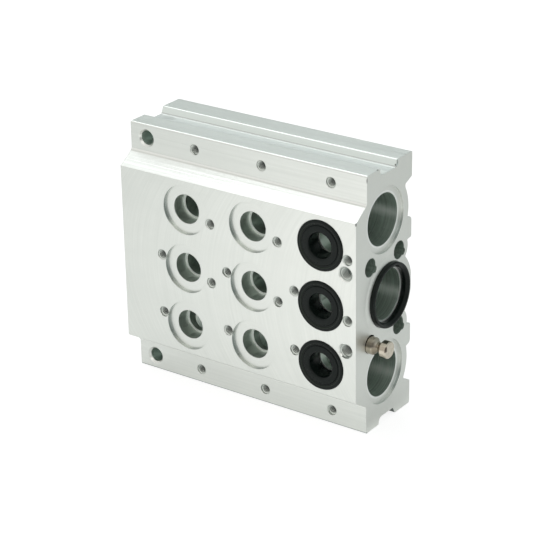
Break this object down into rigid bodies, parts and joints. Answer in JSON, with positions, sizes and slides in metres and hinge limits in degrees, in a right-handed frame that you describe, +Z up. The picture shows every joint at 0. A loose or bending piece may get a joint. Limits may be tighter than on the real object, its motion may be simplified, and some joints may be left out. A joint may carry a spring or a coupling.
{
  "type": "pneumatic valve manifold block",
  "caption": "Machined aluminium manifold block with through galleries, stepped valve ports, rubber seals and a grooved joining pin.",
  "frame": {"origin": "middle of the whole part's footprint on the surface it stands on", "axes": "+X along the galleries towards the joint end, +Y towards the back, -Y out of the valve face, +Z up"},
  "size_m": [0.1128, 0.0376, 0.101],
  "materials": {
    "machined_aluminium": "satin, extruded and milled",
    "black_rubber": "moulded, semi-matt",
    "plated_steel": "turned and nickel plated"
  },
  "bodies": {
    "root": {"manifold_body": "machined_aluminium", "gallery_seal": "black_rubber", "port_seal_upper": "black_rubber", "port_seal_middle": "black_rubber", "port_seal_lower": "black_rubber", "joining_pin": "plated_steel"}
  },
  "joints": []
}
